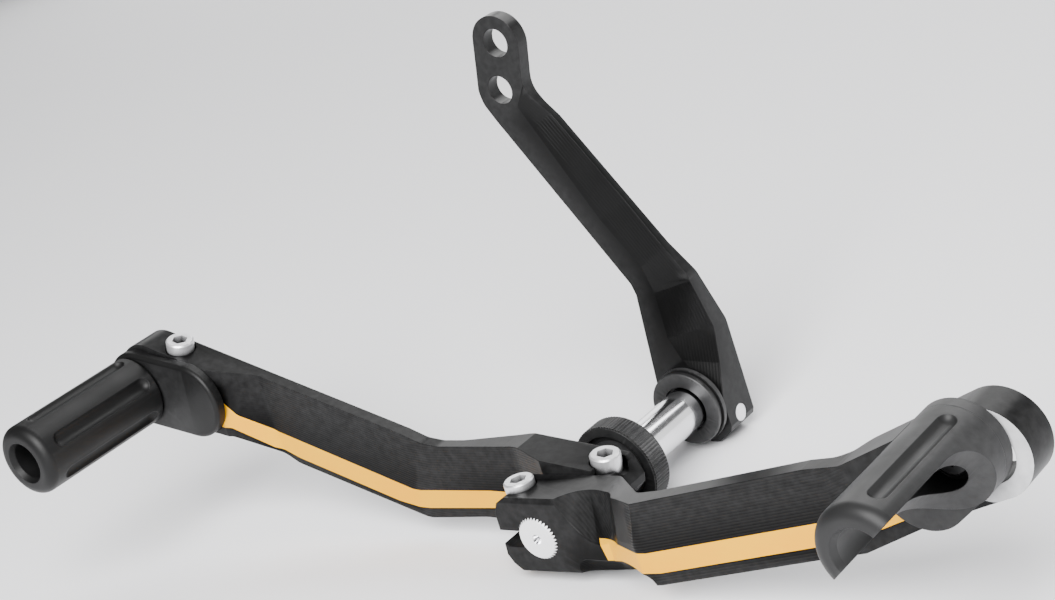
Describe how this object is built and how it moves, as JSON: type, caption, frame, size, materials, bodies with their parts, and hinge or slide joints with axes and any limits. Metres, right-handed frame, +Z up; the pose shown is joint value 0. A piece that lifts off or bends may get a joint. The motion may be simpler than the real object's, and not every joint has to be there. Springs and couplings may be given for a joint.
{
  "type": "motorcycle gear shift lever",
  "caption": "Heel-and-toe gear shifter: toe and heel levers with adjustable pegs and a linkage arm, clamped on one cross shaft with its bearing collars.",
  "frame": {"origin": "on the cross shaft's axis, in the middle of its bare journal between the knurled collar and the seal ring", "axes": "+X rearwards towards the heel peg, +Y along the shaft towards the linkage arm, +Z up"},
  "size_m": [0.3766, 0.1718, 0.1588],
  "materials": {
    "lever_black": "milled, black anodised, satin",
    "black_anodised": "turned, black anodised",
    "peg_black": "blasted, black anodised, satin",
    "gold_anodised": "gold anodised, satin",
    "stainless": "plain stainless",
    "ground_steel": "ground and polished",
    "black_oxide": "black oxide",
    "seal_rubber": "matt",
    "washer_plastic": "matt"
  },
  "bodies": {
    "bearing_side": {"knurled_collar": "black_anodised", "collar_seal": "seal_rubber", "seal_ring": "black_anodised", "seal_ring_o_ring": "seal_rubber"},
    "lever_set": {"pivot_shaft": "ground_steel", "spacer_sleeve": "black_anodised", "thrust_washer": "washer_plastic", "heel_lever": "lever_black", "heel_lever_strip": "gold_anodised", "heel_clamp_screw": "stainless", "heel_plate_set_screw": "black_oxide", "toe_lever": "lever_black", "toe_lever_strip": "gold_anodised", "toe_clamp_screw": "stainless", "toe_plate_pinch_screw": "stainless", "shift_arm": "lever_black", "shift_arm_clamp_screw": "stainless"},
    "heel_peg_set": {"heel_peg_plate": "peg_black", "heel_peg": "peg_black", "heel_peg_screw": "black_oxide", "heel_pivot_washer": "black_oxide", "heel_pivot_screw": "black_oxide"},
    "toe_peg_set": {"toe_peg_plate": "peg_black", "toe_peg": "peg_black", "toe_peg_screw": "black_oxide", "toe_pivot_washer": "black_oxide", "toe_pivot_screw": "black_oxide"}
  },
  "joints": [
    {"name": "shift_pivot", "type": "hinge", "parent": "bearing_side", "child": "lever_set", "pos_m": [0, 0, 0], "axis": [0, 1, 0], "range_deg": [-15, 15]},
    {"name": "heel_peg_adjust", "type": "hinge", "parent": "lever_set", "child": "heel_peg_set", "pos_m": [0.1512, -0.077, 0.0313], "axis": [0, 1, 0], "range_deg": [-30, 30]},
    {"name": "toe_peg_adjust", "type": "hinge", "parent": "lever_set", "child": "toe_peg_set", "pos_m": [-0.1561, -0.0542, 0.0413], "axis": [0, 1, 0], "range_deg": [-30, 30]}
  ]
}
